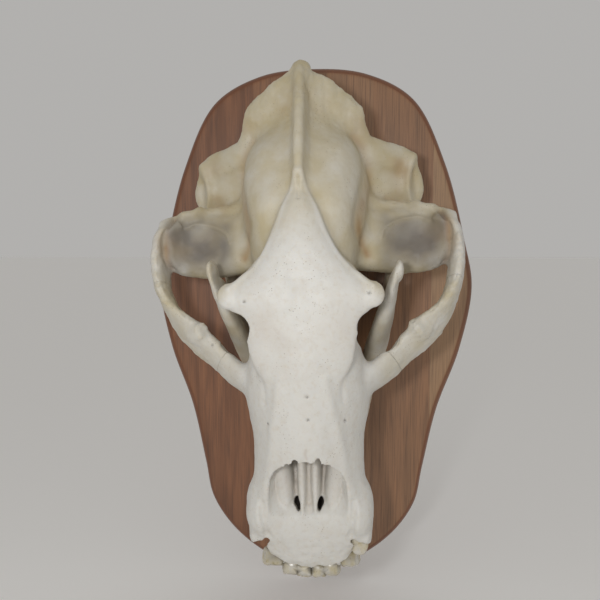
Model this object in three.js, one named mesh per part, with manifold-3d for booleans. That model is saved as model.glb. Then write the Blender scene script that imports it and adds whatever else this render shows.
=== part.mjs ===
// A brown bear skull with its lower jaw, mounted on a walnut wall plaque, in millimetres.
// The plaque's back lies in the plane y = 0, x runs to the viewer's right and z runs up.
// The skull is drawn in its own frame: x across, "along" from the crest's rear tip to the
// incisors, and "height" above the plane of the cheek teeth's sockets. Two groups place it.
import * as THREE from "three";
import { mergeVertices } from "three/addons/utils/BufferGeometryUtils.js";
import Module from "manifold-3d";

const wasm = await Module();
wasm.setup();

// Plaque
const PLAQUE_THICKNESS = 22;
const PLAQUE_ROUND_OVER = 5;
const PLAQUE_SIDES = 72;
const ROUND_OVER_STEPS = 4;
// Half width of the pear outline against height over the middle of the plaque.
const PLAQUE_OUTLINE = [
  [253, 0], [247, 52], [222, 97], [161, 128], [87, 148], [42, 156],
  [-20, 145], [-80, 124], [-140, 111], [-178, 103], [-212, 80], [-240, 42], [-253, 0],
];

// Pose of the skull on the plaque
const SKULL_TILT = THREE.MathUtils.degToRad(16);
const SKULL_TURN = THREE.MathUtils.degToRad(1.6);
const PIVOT_ALONG = 200;
const PIVOT_PLACE = new THREE.Vector3(2.6, -(PLAQUE_THICKNESS + 76), 8.1);

// How finely each form is drawn: sides round it, steps along it, and how square its section is
const FINE = {
  body: { sides: 24, steps: 36, power: 2.3 },
  crest: { sides: 8, steps: 14, power: 2 },
  shield: { sides: 16, steps: 20, power: 2 },
  occiput: { sides: 16, steps: 8, power: 2.2 },
  nuchal: { sides: 8, steps: 18, power: 2 },
  shelf: { sides: 12, steps: 7, power: 2.6 },
  arch: { sides: 10, steps: 24, power: 2.2 },
  cheek: { sides: 8, steps: 4, power: 2 },
  nose: { sides: 20, steps: 16, power: 2.1 },
  jaw: { sides: 10, steps: 40, power: 2.5 },
  tooth: { sides: 8, steps: 6, power: 2.6 },
  lump: { sides: 10, steps: 7 },
};

// Fit between pieces that touch
const GAP = 0.3;
const FAR = 800;
const BITE_HEIGHT = -8;

// Skull body: along, half width, top, bottom, lean (how much narrower the top is)
const BODY = [
  [24, 28, 60, 16, 0.05], [34, 41, 74, 4, 0.05], [60, 50, 86, -2, 0.1], [90, 54, 95, -4, 0.12],
  [120, 51, 101, -2, 0.12], [145, 43, 103, 4, 0.1], [165, 38, 104, 10, 0.05], [190, 40, 106, 8, 0],
  [212, 41, 101, 2, 0.05], [232, 45, 95, -1, 0.16], [252, 48, 86, -2, 0.24], [272, 45, 77.5, -2, 0.26],
  [288, 42, 71, -2, 0.26], [306, 43, 62, -2, 0.24], [322, 47, 51, -3, 0.22], [338, 50, 40, -3, 0.18],
  [352, 49, 31, -3, 0.16], [368, 44.5, 22, -4, 0.14], [380, 37, 15, -5, 0.12], [388, 28, 9, -6, 0.1],
  [392, 17, 4, -6, 0.1],
];
// Sagittal crest: along, half thickness, top, bottom, lean
const CREST = [
  [-1, 5, 88, 76, 0.1], [8, 6, 94, 66, 0.2], [24, 5.5, 100, 60, 0.35], [55, 5, 107.5, 72, 0.4],
  [88, 5.5, 111.5, 82, 0.4], [114, 8, 111.5, 86, 0.3], [132, 11, 109, 90, 0.1],
];
// Frontal shield between the temporal lines, out to the postorbital processes
const SHIELD = [
  [110, 5, 111, 94, 0], [133, 15, 110.5, 87, 0], [157, 30, 109.5, 82, 0], [172, 42, 108.5, 80, 0],
  [184, 55, 107.5, 80, 0], [191, 59, 106.5, 81, 0], [198, 51, 105, 81, 0], [206, 43.5, 102.5, 79, 0],
  [218, 40, 98.5, 77, 0], [236, 36, 91, 70, 0], [256, 26, 81, 62, 0],
];
// Occiput between the nuchal crests and the skull's base
const OCCIPUT = [
  [25, 30, 78, 22, 0.3], [38, 45, 80, 8, 0.35], [52, 68, 74, -2, 0.42], [66, 84, 62, -6, 0.46],
  [80, 90, 48, -8, 0.4], [98, 84, 34, -6, 0.3],
];
// Nuchal crest's blade: across, along, height, half width, half thickness, lean
const NUCHAL = [
  [0, 13, 85, 10, 4, 0], [12, 18, 81, 12, 4, 0], [25, 26, 74, 13, 4, 0], [36.5, 34, 66, 13, 4.5, 0],
  [42, 45, 57, 11, 4.5, 0], [49, 55, 51, 11, 5, 0], [64, 59, 43, 12, 5, 0], [78, 61, 34, 13, 5.5, 0],
  [84, 69, 25, 13, 6, 0], [88, 79, 16, 13, 7, 0], [84, 91, 11, 12, 7, 0],
];
// Shelf of the squamosal that carries the arch's rear root: across, front, back, top, bottom
const SHELF = [
  [30, 154, 86, 58, 12], [60, 157, 92, 46, 16], [80, 159, 97, 42, 21], [98, 158, 102, 44, 25],
  [112, 153, 107, 50, 30], [121, 142, 113, 56, 37],
];
// Zygomatic arch: across, along, height, half thickness, half depth, lean of its top edge inward
const ARCH = [
  [104, 118, 42, 6, 9, 0], [117, 126, 46, 6, 13, 0], [119.5, 140, 47, 5.5, 16, 0],
  [119.5, 156, 45, 5.8, 18, 2], [117, 172, 41, 6, 19, 6], [110.5, 188, 36, 6, 19, 16],
  [101, 202, 33, 6.5, 18.5, 30], [88, 216, 30, 7.5, 18, 36], [73, 231, 28, 8.5, 18, 34],
  [58, 246, 28, 9.5, 20, 28], [44, 256, 30, 11, 24, 20],
];
// Process of the cheek bone that points up to the postorbital process
const CHEEK_PROCESS = [
  [93, 208, 36, 8, 7, 0], [86, 206, 44, 7, 6, 0], [79, 205, 52, 4, 3.5, 0],
];
const ARCH_CUTS = [
  { across: 119, along: 168, turn: 12 },
  { across: 72, along: 233, turn: 48 },
];
const CUT_BLADE = { across: 44, height: 90, middle: 30 };

// Rounded lumps of the skull: across, along, height and their three radii
const LUMPS = [
  [21, 22, 14, 13, 12, 15],
  [88, 77, 0, 13, 17, 20],
  [60, 53, -6, 9, 9, 15],
  [76, 100, 12, 20, 5, 12],
  [38, 336, 15, 13, 30, 20],
];
const SPINAL_HOLE = [0, 14, 27, 14, 16, 12];
// Notch behind the outer incisor, where the lower canine stands
const CANINE_NOTCH = [40, 372, -3, 14, 10, 15];

// Nasal opening: along, half width, top, bottom, lean
const NOSE = [
  [284, 17, 52, 28, 0.1], [300, 23, 57, 18, 0.15], [312, 27, 62, 14, 0.1], [328, 30, 64, 14, -0.1],
  [342, 27, 62, 19, -0.2], [352, 18, 60, 25, -0.3], [357, 10, 56, 29, -0.3],
];
// Bony leaves inside the nose: across, along from, along to, top, bottom, half thickness
const LEAVES = [
  [0, 286, 338, 33, 12, 2.2],
  [10.5, 284, 330, 45, 14, 2],
  [-10.5, 284, 330, 45, 14, 2],
];

// Upper cheek teeth: along, across, half length, half width
const UPPER_CHEEK = [
  [292, 37, 8, 6], [273, 38, 11, 8], [244, 37, 18, 9],
];
const LOWER_CHEEK = [
  [298, 31, 6, 4], [282, 34, 10, 5.5], [258, 39, 13, 7], [233, 45, 10, 7],
];
const UPPER_ROOT = 10;
const LOWER_ROOT = -28;
const INCISOR_ROOT = 5;
const INCISOR_CROWN = -12;
// Girth of a worn tooth at shares of its height, and the girth of a canine across its length
const TOOTH_LEVELS = [[0, 0.8], [0.5, 1], [0.86, 0.95], [1, 0.74]];
const CANINE_FLATNESS = 0.8;
const CANINE_TAPER = 1.4;
const INCISOR_ARC = { centre: 370, ahead: 25.5, across: 34 };
const INCISOR_TURNS = [9, 27, 58];
const INCISOR_WIDTHS = [4.4, 5, 6.4];
const INCISOR_SPLAY = 3;
// Canines: across, along, root height, tip height, root radius, tip radius, lean along, lean across
const UPPER_CANINE = [40, 348, 10, -36, 10, 3.2, -6, 4];
const LOWER_CANINES = {
  left: [25, 366, -42, -13, 9, 6.5, 4, 6],
  right: [25, 366, -42, 3, 9, 5.5, 6, 10],
};

// Lower jaw: along, across, half thickness, top, bottom
const JAW = [
  [104, 79, 6, -34, -54], [112, 78, 8, -20, -57], [122, 77, 8, -6, -60], [140, 76, 7.5, -2, -64],
  [158, 72.5, 6.5, 6, -65], [162, 71.5, 4.5, 20, -65], [164, 71, 3.5, 74, -65], [168, 70, 3.5, 81, -65],
  [176, 68, 4, 78, -65], [190, 64, 5, 60, -65], [206, 59, 6, 34, -64], [222, 54, 7.5, 6, -63],
  [232, 51, 8.5, -11, -62], [260, 43, 9, -14, -62], [300, 33, 9, -16, -63], [335, 25, 11, -18, -64],
  [362, 17, 17, -20, -58], [378, 11, 13, -21, -46], [387, 7, 9, -22, -36],
];
const CONDYLE = [77, 117, 6, 19, 8, 8];
const CONDYLE_NECK = [77, 119, -8, 9, 10, 14];

// Colours
const BONE = new THREE.MeshStandardMaterial({ color: "#d6d1c4", roughness: 0.6, metalness: 0 });
const ARCH_BONE = new THREE.MeshStandardMaterial({ color: "#cfc7b0", roughness: 0.6, metalness: 0 });
const JAW_BONE = new THREE.MeshStandardMaterial({ color: "#cdc5ad", roughness: 0.6, metalness: 0 });
const WALNUT = new THREE.MeshStandardMaterial({ color: "#7a5f52", roughness: 0.45, metalness: 0 });

// A point of the skull's own frame as a vector.
function place(across, along, height) {
  return new THREE.Vector3(across, -height, -along);
}

// A smooth value of one column of a table at a place between its first and last rows.
function smoothValue(rows, column, at) {
  const last = rows.length - 1;
  let low = 0;
  while (low < last - 1 && rows[low + 1][0] < at) {
    low += 1;
  }
  const slope = (index) => {
    const before = rows[Math.max(index - 1, 0)];
    const after = rows[Math.min(index + 1, last)];
    return (after[column] - before[column]) / (after[0] - before[0]);
  };
  const span = rows[low + 1][0] - rows[low][0];
  const t = THREE.MathUtils.clamp((at - rows[low][0]) / span, 0, 1);
  const rise = rows[low + 1][column] - rows[low][column];
  const ease = t * t * (3 - 2 * t);
  const lead = t * (1 - t) * (1 - t) * slope(low);
  const trail = t * t * (1 - t) * slope(low + 1);
  return rows[low][column] + rise * ease + span * (lead - trail);
}

// A rounded section: cosine and sine pushed outward so that it squares up as the power grows.
function squared(value, power) {
  return Math.sign(value) * Math.abs(value) ** (2 / power);
}

// A closed skin through rings of points, with a fan over each end.
function skin(rings) {
  const sides = rings[0].length;
  const points = rings.flat();
  const faces = [];
  for (let ring = 0; ring + 1 < rings.length; ring += 1) {
    for (let side = 0; side < sides; side += 1) {
      const a = ring * sides + side;
      const b = ring * sides + ((side + 1) % sides);
      faces.push(a, b, b + sides, a, b + sides, a + sides);
    }
  }
  const ends = [[0, false], [rings.length - 1, true]];
  for (const [ring, turned] of ends) {
    const middle = new THREE.Vector3();
    rings[ring].forEach((point) => middle.addScaledVector(point, 1 / sides));
    const hub = points.push(middle) - 1;
    for (let side = 0; side < sides; side += 1) {
      const a = ring * sides + side;
      const b = ring * sides + ((side + 1) % sides);
      faces.push(...(turned ? [hub, a, b] : [hub, b, a]));
    }
  }
  const geometry = new THREE.BufferGeometry().setFromPoints(points);
  geometry.setIndex(faces);
  return geometry;
}

// A geometry as a solid for joining and cutting, its faces turned outward.
function solidOf(geometry) {
  const bare = geometry.clone();
  bare.deleteAttribute("normal");
  bare.deleteAttribute("uv");
  const merged = mergeVertices(bare, 1e-4);
  const triVerts = new Uint32Array(merged.index.array);
  const vertProperties = new Float32Array(merged.attributes.position.array);
  const solid = new wasm.Manifold(new wasm.Mesh({ numProp: 3, vertProperties, triVerts }));
  if (solid.volume() > 0) return solid;
  for (let corner = 0; corner < triVerts.length; corner += 3) {
    [triVerts[corner + 1], triVerts[corner + 2]] = [triVerts[corner + 2], triVerts[corner + 1]];
  }
  return new wasm.Manifold(new wasm.Mesh({ numProp: 3, vertProperties, triVerts }));
}

// A solid drawn along the skull from rows of along, half width, top, bottom, lean.
function bodyAlong(rows, { sides, steps, power }) {
  const rings = [];
  const first = rows[0][0];
  const last = rows[rows.length - 1][0];
  for (let step = 0; step <= steps; step += 1) {
    const along = first + ((last - first) * step) / steps;
    const [half, top, bottom, lean] = [1, 2, 3, 4].map((column) => smoothValue(rows, column, along));
    const ring = [];
    for (let side = 0; side < sides; side += 1) {
      const turn = (2 * Math.PI * (side + 0.5)) / sides;
      const up = squared(Math.sin(turn), power);
      const out = squared(Math.cos(turn), power) * (1 - lean * up);
      ring.push(place(half * out, along, (top + bottom) / 2 + (up * (top - bottom)) / 2));
    }
    rings.push(ring);
  }
  return solidOf(skin(rings));
}

// A solid drawn across the skull from rows of across, front, back, top, bottom.
function bodyAcross(rows, { sides, steps, power }, side) {
  const rings = [];
  const first = rows[0][0];
  const last = rows[rows.length - 1][0];
  for (let step = 0; step <= steps; step += 1) {
    const across = first + ((last - first) * step) / steps;
    const [front, back, top, bottom] = [1, 2, 3, 4].map((column) => smoothValue(rows, column, across));
    const ring = [];
    for (let corner = 0; corner < sides; corner += 1) {
      const turn = (2 * Math.PI * (corner + 0.5)) / sides;
      const up = squared(Math.sin(turn), power);
      const ahead = squared(Math.cos(turn), power);
      const along = (front + back) / 2 + (ahead * (front - back)) / 2;
      ring.push(place(side * across, along, (top + bottom) / 2 + (up * (top - bottom)) / 2));
    }
    rings.push(ring);
  }
  return solidOf(skin(rings));
}

// A bar swept along a bent line of across, along, height, half thickness, half depth, lean.
function sweep(rows, { sides, steps, power }, side) {
  const line = new THREE.CatmullRomCurve3(rows.map((row) => place(side * row[0], row[1], row[2])));
  const sizes = rows.map((row, index) => [index / (rows.length - 1), row[3], row[4], row[5]]);
  const rings = [];
  for (let step = 0; step <= steps; step += 1) {
    const share = step / steps;
    const middle = line.getPoint(share);
    const ahead = line.getTangent(share);
    const thick = new THREE.Vector3().crossVectors(ahead, place(0, 0, 1)).normalize();
    const deep = new THREE.Vector3().crossVectors(thick, ahead).normalize();
    const lean = THREE.MathUtils.degToRad(side * smoothValue(sizes, 3, share));
    thick.applyAxisAngle(ahead, lean);
    deep.applyAxisAngle(ahead, lean);
    const ring = [];
    for (let corner = 0; corner < sides; corner += 1) {
      const turn = (2 * Math.PI * (corner + 0.5)) / sides;
      const point = middle.clone();
      point.addScaledVector(thick, smoothValue(sizes, 1, share) * squared(Math.cos(turn), power));
      point.addScaledVector(deep, smoothValue(sizes, 2, share) * squared(Math.sin(turn), power));
      ring.push(point);
    }
    rings.push(ring);
  }
  return solidOf(skin(rings));
}

// An egg-shaped lump.
function lump([across, along, height, halfAcross, halfAlong, halfHeight], side) {
  const geometry = new THREE.SphereGeometry(1, FINE.lump.sides, FINE.lump.steps);
  geometry.scale(halfAcross, halfHeight, halfAlong);
  const middle = place(side * across, along, height);
  geometry.translate(middle.x, middle.y, middle.z);
  return solidOf(geometry);
}

// A box in the skull's frame, from its middle and its three sizes, turned about the height axis.
function block(across, along, height, sizes, turn) {
  const geometry = new THREE.BoxGeometry(sizes[0], sizes[2], sizes[1]);
  geometry.rotateY(THREE.MathUtils.degToRad(turn));
  const middle = place(across, along, height);
  geometry.translate(middle.x, middle.y, middle.z);
  return solidOf(geometry);
}

// A worn tooth: rings up from the root, a little narrower at the crown's flat face.
function tooth(across, along, root, crown, halfAcross, halfAlong, shifts) {
  const { sides, power } = FINE.tooth;
  const rings = TOOTH_LEVELS.map(([share, girth]) => {
    const ring = [];
    for (let corner = 0; corner < sides; corner += 1) {
      const turn = (2 * Math.PI * corner) / sides;
      const x = across + shifts[0] * share + girth * halfAcross * squared(Math.cos(turn), power);
      const y = along + shifts[1] * share + girth * halfAlong * squared(Math.sin(turn), power);
      ring.push(place(x, y, root + (crown - root) * share));
    }
    return ring;
  });
  return solidOf(skin(rings));
}

// A canine: a stout cone that bends along the jaw towards its blunt tip.
function canine([across, along, root, tip, rootRadius, tipRadius, bend, lean], side) {
  const { sides, steps } = FINE.tooth;
  const rings = [];
  for (let step = 0; step <= steps; step += 1) {
    const share = step / steps;
    const radius = THREE.MathUtils.lerp(rootRadius, tipRadius, share ** CANINE_TAPER);
    const ring = [];
    for (let corner = 0; corner < sides; corner += 1) {
      const turn = (2 * Math.PI * corner) / sides;
      const x = side * (across + CANINE_FLATNESS * radius * Math.cos(turn) + lean * share);
      const y = along + radius * Math.sin(turn) + bend * share * share;
      ring.push(place(x, y, root + (tip - root) * share));
    }
    rings.push(ring);
  }
  return solidOf(skin(rings));
}

// One body from many: the pieces joined, then only the largest closed surface kept.
function joined(pieces) {
  return pieces.reduce((whole, piece) => whole.add(piece));
}

function bodiesBySize(solid) {
  return solid.decompose().sort((one, other) => other.volume() - one.volume());
}

// A row of incisors on an arc, the outer ones wider.
function incisors() {
  const teeth = [];
  INCISOR_TURNS.forEach((turn, index) => {
    const angle = THREE.MathUtils.degToRad(turn);
    const across = INCISOR_ARC.across * Math.sin(angle);
    const along = INCISOR_ARC.centre + INCISOR_ARC.ahead * Math.cos(angle);
    const half = INCISOR_WIDTHS[index];
    for (const side of [-1, 1]) {
      const splay = [side * INCISOR_SPLAY * Math.sin(angle), INCISOR_SPLAY];
      teeth.push(tooth(side * across, along, INCISOR_ROOT, INCISOR_CROWN, half, half, splay));
    }
  });
  return teeth;
}

// Cranium with its arches and upper teeth, before it is parted.
function wholeCranium() {
  const pieces = [
    bodyAlong(BODY, FINE.body),
    bodyAlong(CREST, FINE.crest),
    bodyAlong(SHIELD, FINE.shield),
    bodyAlong(OCCIPUT, FINE.occiput),
  ];
  for (const side of [-1, 1]) {
    pieces.push(sweep(NUCHAL, FINE.nuchal, side));
    pieces.push(bodyAcross(SHELF, FINE.shelf, side));
    pieces.push(sweep(ARCH, FINE.arch, side));
    pieces.push(sweep(CHEEK_PROCESS, FINE.cheek, side));
    LUMPS.forEach((row) => pieces.push(lump(row, side)));
    UPPER_CHEEK.forEach(([along, across, halfAlong, halfAcross]) => {
      pieces.push(tooth(side * across, along, UPPER_ROOT, BITE_HEIGHT, halfAcross, halfAlong, [0, 0]));
    });
    pieces.push(canine(UPPER_CANINE, side));
  }
  pieces.push(...incisors());
  let solid = joined(pieces);
  solid = solid.subtract(bodyAlong(NOSE, FINE.nose));
  solid = solid.subtract(lump(SPINAL_HOLE, 1));
  for (const side of [-1, 1]) {
    solid = solid.subtract(lump(CANINE_NOTCH, side));
  }
  for (const [across, from, to, top, bottom, half] of LEAVES) {
    const leaf = block(across, (from + to) / 2, (top + bottom) / 2, [2 * half, to - from, top - bottom], 0);
    solid = solid.add(leaf);
  }
  return solid;
}

// Thin cuts along the sutures set the two cheek arches free.
function partedCranium() {
  let solid = wholeCranium();
  for (const side of [-1, 1]) {
    for (const { across, along, turn } of ARCH_CUTS) {
      const sizes = [CUT_BLADE.across, GAP, CUT_BLADE.height];
      solid = solid.subtract(block(side * across, along, CUT_BLADE.middle, sizes, side * turn));
    }
  }
  const [cranium, ...rest] = bodiesBySize(solid);
  const arches = rest.slice(0, 2).sort((one, other) => one.boundingBox().min[0] - other.boundingBox().min[0]);
  return { cranium, left: arches[0], right: arches[1] };
}

// One half of the lower jaw with its teeth.
function jawHalf(side, lowerCanine) {
  const { sides, steps, power } = FINE.jaw;
  const rings = [];
  const first = JAW[0][0];
  const last = JAW[JAW.length - 1][0];
  for (let step = 0; step <= steps; step += 1) {
    const along = first + ((last - first) * step) / steps;
    const [across, half, top, bottom] = [1, 2, 3, 4].map((column) => smoothValue(JAW, column, along));
    const ring = [];
    for (let corner = 0; corner < sides; corner += 1) {
      const turn = (2 * Math.PI * (corner + 0.5)) / sides;
      const up = squared(Math.sin(turn), power);
      const out = squared(Math.cos(turn), power);
      ring.push(place(side * (across + half * out), along, (top + bottom) / 2 + (up * (top - bottom)) / 2));
    }
    rings.push(ring);
  }
  const pieces = [solidOf(skin(rings)), lump(CONDYLE, side), lump(CONDYLE_NECK, side)];
  LOWER_CHEEK.forEach(([along, across, halfAlong, halfAcross]) => {
    pieces.push(tooth(side * across, along, LOWER_ROOT, BITE_HEIGHT - GAP, halfAcross, halfAlong, [0, 0]));
  });
  pieces.push(canine(lowerCanine, side));
  return joined(pieces);
}

const skullPlace = new THREE.Group();
skullPlace.position.copy(PIVOT_PLACE);
skullPlace.rotation.set(-SKULL_TILT, -SKULL_TURN, 0, "YXZ");
const skullFrame = new THREE.Group();
skullFrame.position.set(0, 0, PIVOT_ALONG);
skullPlace.add(skullFrame);

// The wall side of the plaque's front, in the skull's frame, cuts the jaw's angles flat.
function plaqueFront() {
  const geometry = new THREE.BoxGeometry(FAR, FAR, FAR);
  geometry.translate(0, FAR / 2 - PLAQUE_THICKNESS - GAP, 0);
  skullPlace.updateMatrixWorld(true);
  geometry.applyMatrix4(skullFrame.matrixWorld.clone().invert());
  return solidOf(geometry);
}

// The pear-shaped plaque with a round-over along its front edge.
function plaque() {
  const right = PLAQUE_OUTLINE.map(([z, half]) => new THREE.Vector3(half, 0, z));
  const left = right.slice(1, -1).reverse().map((point) => new THREE.Vector3(-point.x, 0, point.z));
  const rim = new THREE.CatmullRomCurve3([...right, ...left], true);
  const outline = rim.getPoints(PLAQUE_SIDES).slice(1).map((point) => new THREE.Vector2(point.x, point.z));
  const levels = [[0, 0], [PLAQUE_THICKNESS - PLAQUE_ROUND_OVER, 0]];
  for (let step = 1; step <= ROUND_OVER_STEPS; step += 1) {
    const turn = (Math.PI / 2) * (step / ROUND_OVER_STEPS);
    const rise = PLAQUE_THICKNESS - PLAQUE_ROUND_OVER + PLAQUE_ROUND_OVER * Math.sin(turn);
    levels.push([rise, PLAQUE_ROUND_OVER * (1 - Math.cos(turn))]);
  }
  const rings = levels.map(([rise, inset]) => outline.map((point) => {
    const shrink = 1 - inset / point.length();
    return new THREE.Vector3(point.x * shrink, -rise, point.y * shrink);
  }));
  return solidOf(skin(rings));
}

// A named mesh from a solid.
function named(solid, name, material) {
  const mesh = solid.getMesh();
  const geometry = new THREE.BufferGeometry();
  geometry.setAttribute("position", new THREE.BufferAttribute(new Float32Array(mesh.vertProperties), 3));
  geometry.setIndex(new THREE.BufferAttribute(new Uint32Array(mesh.triVerts), 1));
  geometry.computeVertexNormals();
  const piece = new THREE.Mesh(geometry, material);
  piece.name = name;
  return piece;
}

const { cranium, left, right } = partedCranium();
const wallSide = plaqueFront();
const jaws = [];
for (const side of ["left", "right"]) {
  const sign = side === "left" ? -1 : 1;
  const half = jawHalf(sign, LOWER_CANINES[side]);
  const farSide = block((sign * (GAP - FAR)) / 2, PIVOT_ALONG, 0, [FAR, FAR, FAR], 0);
  const clear = half.subtract(farSide).subtract(wallSide);
  jaws.push(named(bodiesBySize(clear)[0], `mandible_${side}`, JAW_BONE));
}
skullFrame.add(named(cranium, "cranium", BONE));
skullFrame.add(named(left, "zygomatic_left", ARCH_BONE));
skullFrame.add(named(right, "zygomatic_right", ARCH_BONE));
skullFrame.add(...jaws);

const trophy = new THREE.Group();
trophy.add(named(plaque(), "plaque", WALNUT));
trophy.add(skullPlace);

export default trophy;
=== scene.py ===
# %% [markdown]
# # A brown bear skull on a walnut plaque
# The object is a cleaned, bleached bear skull with its jaw closed. It is mounted nose outward on a
# pear-shaped board of walnut. The solids of each bone are already placed in the frame that is loaded
# here. This lesson models the same bones again as smooth, living shapes, gives them the stains and pores
# of old bone, and builds the board with its glued strips and its grain.

# %% Load the frame
import math
import bmesh
import bpy
import numpy as np
from mathutils import Matrix, Vector
from mathutils.bvhtree import BVHTree


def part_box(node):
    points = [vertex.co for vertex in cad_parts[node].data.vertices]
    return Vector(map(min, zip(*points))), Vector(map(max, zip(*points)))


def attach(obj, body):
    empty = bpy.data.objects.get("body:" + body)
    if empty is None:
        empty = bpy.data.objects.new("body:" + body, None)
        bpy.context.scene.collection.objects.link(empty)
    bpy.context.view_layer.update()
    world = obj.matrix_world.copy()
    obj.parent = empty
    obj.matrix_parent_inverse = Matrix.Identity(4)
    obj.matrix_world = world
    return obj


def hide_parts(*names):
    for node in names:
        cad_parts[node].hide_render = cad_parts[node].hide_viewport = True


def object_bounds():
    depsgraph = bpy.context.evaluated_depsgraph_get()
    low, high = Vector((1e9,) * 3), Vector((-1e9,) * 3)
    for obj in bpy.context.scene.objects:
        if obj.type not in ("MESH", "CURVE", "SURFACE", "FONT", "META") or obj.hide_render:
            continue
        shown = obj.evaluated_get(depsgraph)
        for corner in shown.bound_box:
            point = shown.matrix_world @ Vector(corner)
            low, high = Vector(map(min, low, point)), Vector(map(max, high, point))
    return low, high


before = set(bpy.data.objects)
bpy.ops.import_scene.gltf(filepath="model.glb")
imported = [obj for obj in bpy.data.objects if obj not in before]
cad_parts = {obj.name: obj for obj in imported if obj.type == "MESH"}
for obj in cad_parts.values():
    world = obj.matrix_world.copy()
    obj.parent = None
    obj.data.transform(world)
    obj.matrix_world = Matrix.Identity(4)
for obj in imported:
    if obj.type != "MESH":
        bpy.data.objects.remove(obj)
cad_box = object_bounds()
MM = 0.001
print("nodes in the frame:", sorted(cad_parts))

# %% [markdown]
# ## The camera
# The picture was taken from a little right of the middle and a little above it, with a short lens close to
# the board: the nose stands nearer to the lens than the crest and looks larger. A camera is set from its
# place in front of the board, its two angles and its lens. A short lens this near is what gives the skull
# its strong taper, so the distance matters as much as the angle.

# %% Camera
CAMERA_PLACE = Vector((36.1, -600.0, 75.7)) * MM
CAMERA_DOWN = math.radians(4.68)
CAMERA_TO_LEFT = math.radians(4.79)
CAMERA_LENS = 35.1

camera_data = bpy.data.cameras.new("camera")
camera_data.lens = CAMERA_LENS
camera_data.sensor_width = 36.0
camera_data.clip_start = 0.01
camera = bpy.data.objects.new("camera", camera_data)
camera.location = CAMERA_PLACE
camera.rotation_euler = (math.radians(90) - CAMERA_DOWN, 0, CAMERA_TO_LEFT)
bpy.context.scene.collection.objects.link(camera)
bpy.context.scene.camera = camera
print("camera", tuple(round(v, 3) for v in camera.location))

# %% [markdown]
# ## Floor and light
# A pale floor and a pale sky keep the attention on the bone. One small soft lamp stands just above the lens
# and to its left, so that the arches and the snout throw narrow shadows to the right across the board, and
# the oiled wood between the bones takes a little of its shine. A large weak lamp opens the shadows.

# %% Floor and lamps
FLOOR_DROP = 0.02
FLOOR_HALF = 40.0
ROOM_BRIGHTNESS = 0.5
LAMP_AIM = (0, -0.1, 0)


def hex_to_linear(code):
    """An sRGB hex colour as linear red, green, blue and alpha."""
    parts = [int(code[i:i + 2], 16) / 255 for i in (1, 3, 5)]
    linear = [c / 12.92 if c <= 0.04045 else ((c + 0.055) / 1.055) ** 2.4 for c in parts]
    return (*linear, 1.0)


def soft_lamp(name, place, aim, size, watts):
    """A square lamp at a place, facing a point."""
    data = bpy.data.lights.new(name, "AREA")
    data.size = size
    data.energy = watts
    lamp = bpy.data.objects.new(name, data)
    lamp.location = place
    lamp.rotation_euler = (Vector(aim) - Vector(place)).to_track_quat("-Z", "Y").to_euler()
    bpy.context.scene.collection.objects.link(lamp)
    return lamp


floor_height = cad_box[0][2] - FLOOR_DROP
floor_mesh = bpy.data.meshes.new("floor")
corners = [(-1, -1), (1, -1), (1, 1), (-1, 1)]
floor_points = [(x * FLOOR_HALF, y * FLOOR_HALF, floor_height) for x, y in corners]
floor_mesh.from_pydata(floor_points, [], [(0, 1, 2, 3)])
floor = bpy.data.objects.new("floor", floor_mesh)
bpy.context.scene.collection.objects.link(floor)
floor_paint = bpy.data.materials.new("pale matt floor paint")
floor_paint.use_nodes = True
floor_paint.node_tree.nodes["Principled BSDF"].inputs["Base Color"].default_value = hex_to_linear("#FDFCFA")
floor_paint.node_tree.nodes["Principled BSDF"].inputs["Roughness"].default_value = 0.9
floor_mesh.materials.append(floor_paint)

world = bpy.data.worlds.new("pale room")
world.use_nodes = True
world.node_tree.nodes["Background"].inputs["Color"].default_value = hex_to_linear("#F2F0ED")
world.node_tree.nodes["Background"].inputs["Strength"].default_value = ROOM_BRIGHTNESS
bpy.context.scene.world = world
bpy.context.scene.view_settings.view_transform = "Standard"
soft_lamp("front_light", (-0.045, -0.63, 0.105), LAMP_AIM, size=0.045, watts=0.97)
soft_lamp("fill_light", (0.7, -1.2, 0.2), LAMP_AIM, size=0.9, watts=0.6)
print("floor at", round(floor_height, 3), "m")

# %% [markdown]
# ## Drawing bones as clay
# A skull has no flat faces, so each bone starts as a few soft forms, as a sculptor would roll them from
# clay: a body drawn along the skull, thin blades, bars swept along a bent line, and eggs. Each form is a
# small table of real sizes in millimetres. The table is read with a smooth curve between its rows, and a
# ring of points is drawn at each step. The forms run into each other freely, because a voxel remesh
# will melt them into one skin afterwards.

# %% The skull's own frame
SKULL_TILT = math.radians(16)
SKULL_TURN = math.radians(1.6)
PIVOT_ALONG = 200 * MM
PLAQUE_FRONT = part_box("plaque")[0][1]
PIVOT_PLACE = Vector((2.6 * MM, PLAQUE_FRONT - 76 * MM, 8.1 * MM))
SKULL_MATRIX = (
    Matrix.Translation(PIVOT_PLACE)
    @ Matrix.Rotation(-SKULL_TURN, 4, "Y")
    @ Matrix.Rotation(-SKULL_TILT, 4, "X")
    @ Matrix.Translation((0, 0, PIVOT_ALONG))
)


def place(across, along, height):
    """Millimetres across, along and above the tooth row, as points of the skull's frame in metres."""
    return np.stack(np.broadcast_arrays(across, -np.asarray(height), -np.asarray(along)), -1) * MM


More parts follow.
